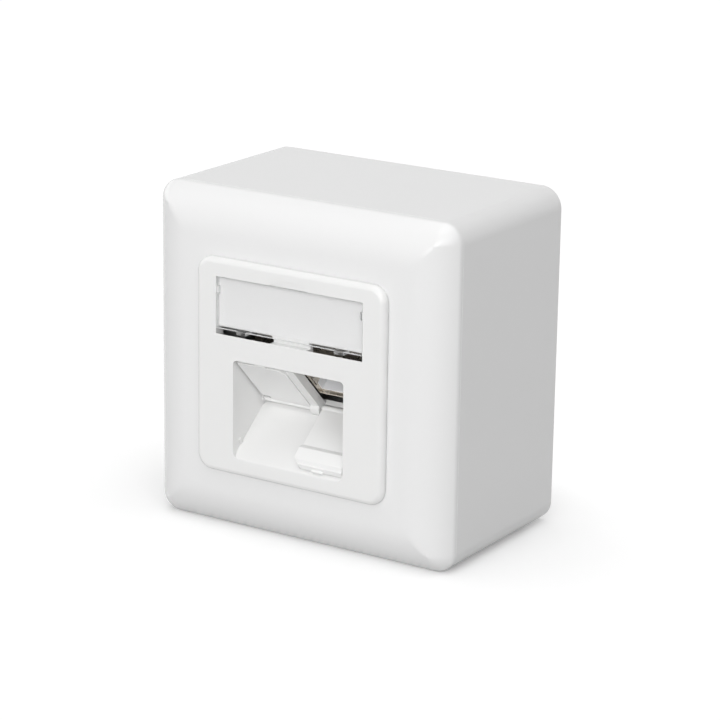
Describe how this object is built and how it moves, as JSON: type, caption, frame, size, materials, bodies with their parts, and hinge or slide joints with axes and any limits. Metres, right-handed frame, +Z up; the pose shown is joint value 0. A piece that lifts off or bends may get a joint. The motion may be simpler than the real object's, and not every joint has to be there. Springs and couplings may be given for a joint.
{
  "type": "surface mount jack box",
  "caption": "Surface-mount network outlet: a square wall box with cover frame, label window and two hinged dust shutters over slanted modular jacks.",
  "frame": {"origin": "centre of the box's back face, on the wall", "axes": "+X to the right seen from the room, +Y into the wall, +Z up"},
  "size_m": [0.0792, 0.0507, 0.0792],
  "materials": {
    "plastic_box": "smooth moulded white, gloss",
    "plastic_frame": "polished moulded white, high gloss",
    "plastic_plate": "polished moulded white, high gloss",
    "clear_plastic": "clear moulded plastic",
    "paper": "blank white card",
    "screw_steel": "zinc plated",
    "zinc_steel": "stamped galvanised sheet",
    "die_cast": "die-cast, slightly grained",
    "board": "green solder mask",
    "nickel": "nickel plated sheet",
    "jack_plastic": "light grey moulded plastic",
    "gold": "gold plated spring wire",
    "terminal_plastic": "moulded plastic"
  },
  "bodies": {
    "base": {"back_box": "plastic_box", "cover_frame": "plastic_frame", "centre_plate": "plastic_plate", "label_card": "paper", "centre_plate_screw": "screw_steel", "support_plate": "zinc_steel", "support_screws": "screw_steel", "module_screws": "screw_steel", "module_housing": "die_cast", "module_rear_cover": "die_cast", "circuit_board": "board", "jack_shield_left": "nickel", "jack_insert_left": "jack_plastic", "jack_contacts_left": "gold", "terminal_block_left": "terminal_plastic", "cable_clamp_left": "nickel", "jack_shield_right": "nickel", "jack_insert_right": "jack_plastic", "jack_contacts_right": "gold", "terminal_block_right": "terminal_plastic", "cable_clamp_right": "nickel"},
    "left_flap": {"shutter_left": "plastic_plate"},
    "right_flap": {"shutter_right": "plastic_plate"},
    "window": {"label_window": "clear_plastic"}
  },
  "joints": [
    {"name": "shutter_left_hinge", "type": "hinge", "parent": "base", "child": "left_flap", "pos_m": [0, -0.03815, -0.00945], "axis": [1, 0, 0], "range_deg": [0, 84.6]},
    {"name": "shutter_right_hinge", "type": "hinge", "parent": "base", "child": "right_flap", "pos_m": [0, -0.03815, -0.00945], "axis": [-1, 0, 0], "range_deg": [0, 84.6]},
    {"name": "window_lift_off", "type": "slide", "parent": "base", "child": "window", "axis": [0, -1, 0], "range_m": [0, 0.012]}
  ]
}
